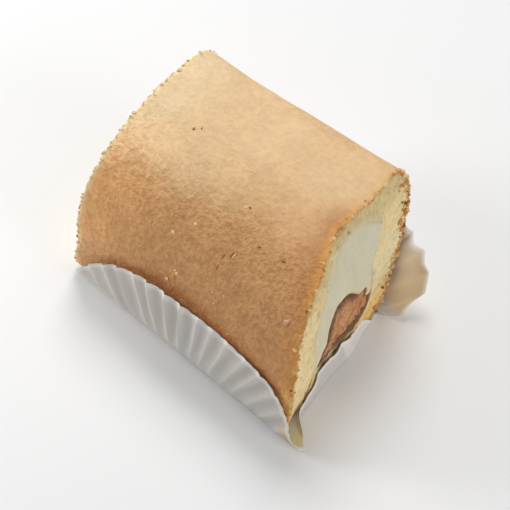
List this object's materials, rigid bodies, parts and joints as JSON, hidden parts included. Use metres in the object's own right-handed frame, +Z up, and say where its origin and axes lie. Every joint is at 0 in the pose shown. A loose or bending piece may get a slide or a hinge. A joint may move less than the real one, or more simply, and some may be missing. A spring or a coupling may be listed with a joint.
{
  "type": "swiss roll cake",
  "caption": "Short cut length of swiss roll cake with cream over a brown filling, lying in a fluted white paper case folded up its sides.",
  "frame": {"origin": "under the middle of the bounding box, on the surface the case rests on", "axes": "+X along the roll towards its slanting right cut, +Y from the front wall to the back wall, +Z up"},
  "size_m": [0.0992, 0.0748, 0.0533],
  "materials": {
    "sponge_sheet": "soft baked sponge, tan skin outside and pale crumb on the cuts",
    "cream_layer": "smooth whipped cream",
    "brown_filling": "moist, coarse brown filling",
    "paper_case": "thin white greaseproof paper, fluted"
  },
  "bodies": {
    "root": {"sponge_sheet": "sponge_sheet", "cream_layer": "cream_layer", "brown_filling": "brown_filling", "paper_case": "paper_case"}
  },
  "joints": []
}
